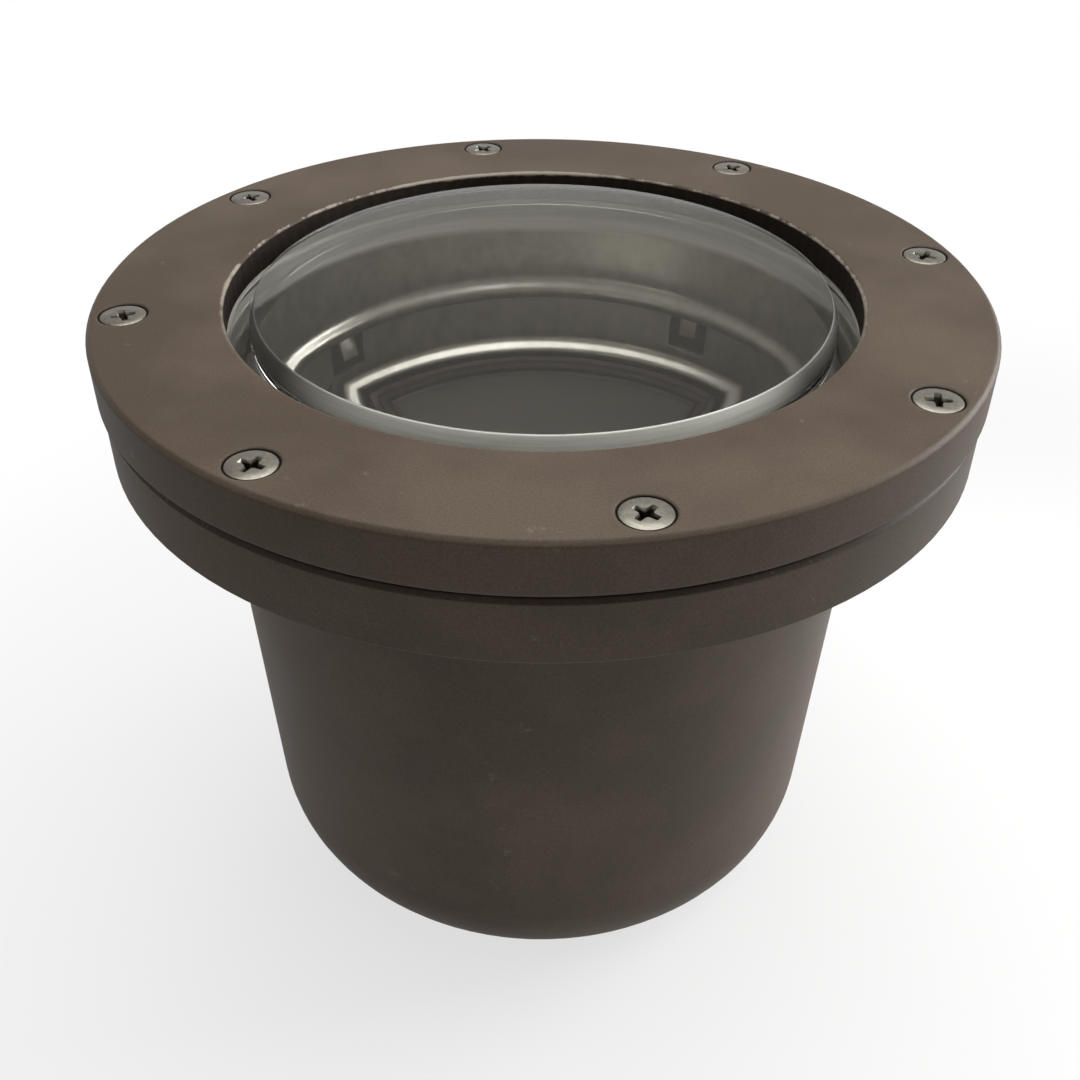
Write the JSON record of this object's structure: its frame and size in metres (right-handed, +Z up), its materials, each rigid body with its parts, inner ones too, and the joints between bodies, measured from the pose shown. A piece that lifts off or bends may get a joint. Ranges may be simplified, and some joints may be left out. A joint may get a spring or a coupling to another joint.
{
  "type": "in ground well light",
  "caption": "Round recessed ground light with a screwed cover ring, stepped glass, spun bowl and an aimable lamp on a tilting yoke.",
  "frame": {"origin": "centre of the flat base, on the surface that the can stands on", "axes": "+Z up along the axis through the glass, +Y to the rear where the cable gland is, +X to the right"},
  "size_m": [0.19, 0.19, 0.1507],
  "materials": {
    "bronze_coat": "satin bronze coat over cast aluminium",
    "gasket_rubber": "matte moulded silicone rubber",
    "lens_silicone": "pale moulded silicone rubber",
    "spun_sheet": "dull spun sheet",
    "stainless": "satin stainless steel",
    "clear_glass": "clear pressed glass, polished",
    "black_nylon": "moulded nylon, matte",
    "brass": "turned brass",
    "zinc_steel": "zinc plated strip steel",
    "cast_lamp": "bare die cast aluminium",
    "frosted_face": "frosted glass, matte",
    "white_board": "white solder mask",
    "led_resin": "yellow phosphor resin",
    "spring_wire": "black oxide spring wire",
    "lead_sleeve": "silicone lead sleeve"
  },
  "bodies": {
    "housing": {"housing": "bronze_coat", "flange_gasket": "gasket_rubber", "bowl": "spun_sheet", "lens_seat_gasket": "lens_silicone", "gland_body": "black_nylon", "gland_washer": "gasket_rubber", "gland_bush": "gasket_rubber", "gland_nut": "black_nylon", "earth_screw": "brass", "earth_washer": "stainless", "swivel_bolt": "stainless", "swivel_spring_washer": "stainless", "swivel_pad": "black_nylon"},
    "cover": {"cover_ring": "bronze_coat", "cover_screws": "stainless", "lens": "clear_glass", "lens_top_gasket": "lens_silicone"},
    "yoke": {"yoke": "zinc_steel", "terminal_block": "black_nylon", "terminal_screws": "brass", "block_screw": "stainless", "lamp_leads": "lead_sleeve"},
    "lamp": {"gimbal_ring": "zinc_steel", "pivot_screws": "stainless", "pivot_washers": "black_nylon", "lamp_body": "cast_lamp", "lamp_face": "frosted_face", "led_board": "white_board", "leds": "led_resin", "lamp_terminals": "brass", "retaining_ring": "spring_wire"}
  },
  "joints": [
    {"name": "cover_lift", "type": "slide", "parent": "housing", "child": "cover", "axis": [0, 0, 1], "range_m": [0, 0.08]},
    {"name": "yoke_swivel", "type": "hinge", "parent": "housing", "child": "yoke", "pos_m": [0, 0, 0.01], "axis": [0, 0, 1], "range_deg": [-170, 170]},
    {"name": "lamp_tilt", "type": "hinge", "parent": "yoke", "child": "lamp", "pos_m": [0, 0, 0.086], "axis": [1, 0, 0], "range_deg": [-15, 15], "deforming": ["lamp_leads"]}
  ]
}
